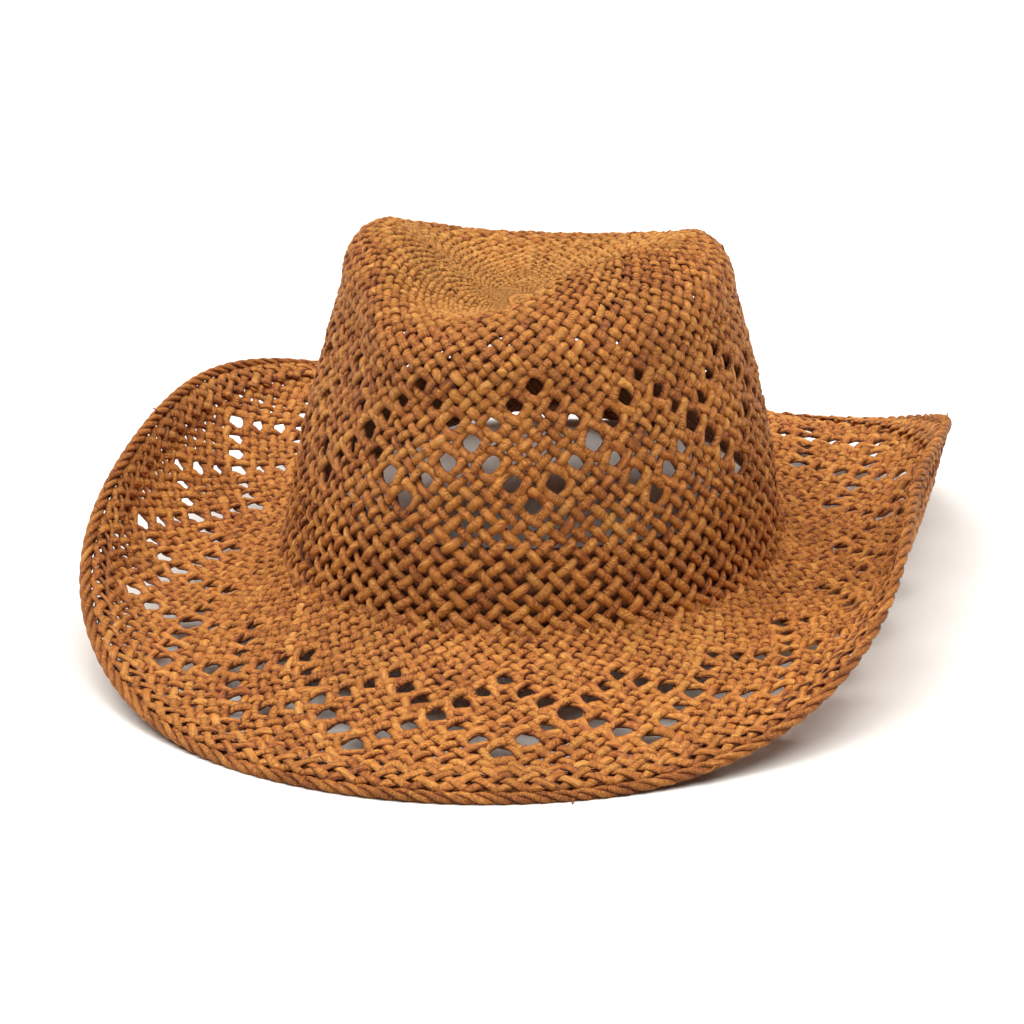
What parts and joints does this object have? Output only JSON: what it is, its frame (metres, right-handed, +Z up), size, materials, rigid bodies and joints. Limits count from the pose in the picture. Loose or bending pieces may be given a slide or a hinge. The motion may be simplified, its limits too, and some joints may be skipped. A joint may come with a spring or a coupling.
{
  "type": "cowboy hat",
  "caption": "Woven paper-straw cowboy hat with a pinched teardrop crown, openwork lace rows, a curled wired brim and an inner sweatband.",
  "frame": {"origin": "centre of the bounding box's bottom: on the surface that the brim rests on, under the middle of the hat", "axes": "+Z up through the crown, -Y towards the front pinch, +X to the wearer's left"},
  "size_m": [0.2889, 0.3374, 0.1366],
  "materials": {
    "paper_straw": "woven twisted paper straw, warm tan, matt with a slight sheen on each strand",
    "braided_straw": "the same straw braided into a rope edge",
    "steel_wire": "drawn steel",
    "band_cloth": "brown woven cotton tape, matt",
    "tan_thread": "tan polyester sewing thread"
  },
  "bodies": {
    "root": {"crown_tip": "paper_straw", "crown_wall": "paper_straw", "brim": "paper_straw", "brim_hem": "paper_straw", "edge_braid": "braided_straw", "brim_wire": "steel_wire", "wire_sleeve": "steel_wire", "hem_thread": "tan_thread", "sweatband": "band_cloth", "sweatband_tab": "band_cloth", "sweatband_thread": "tan_thread"}
  },
  "joints": []
}
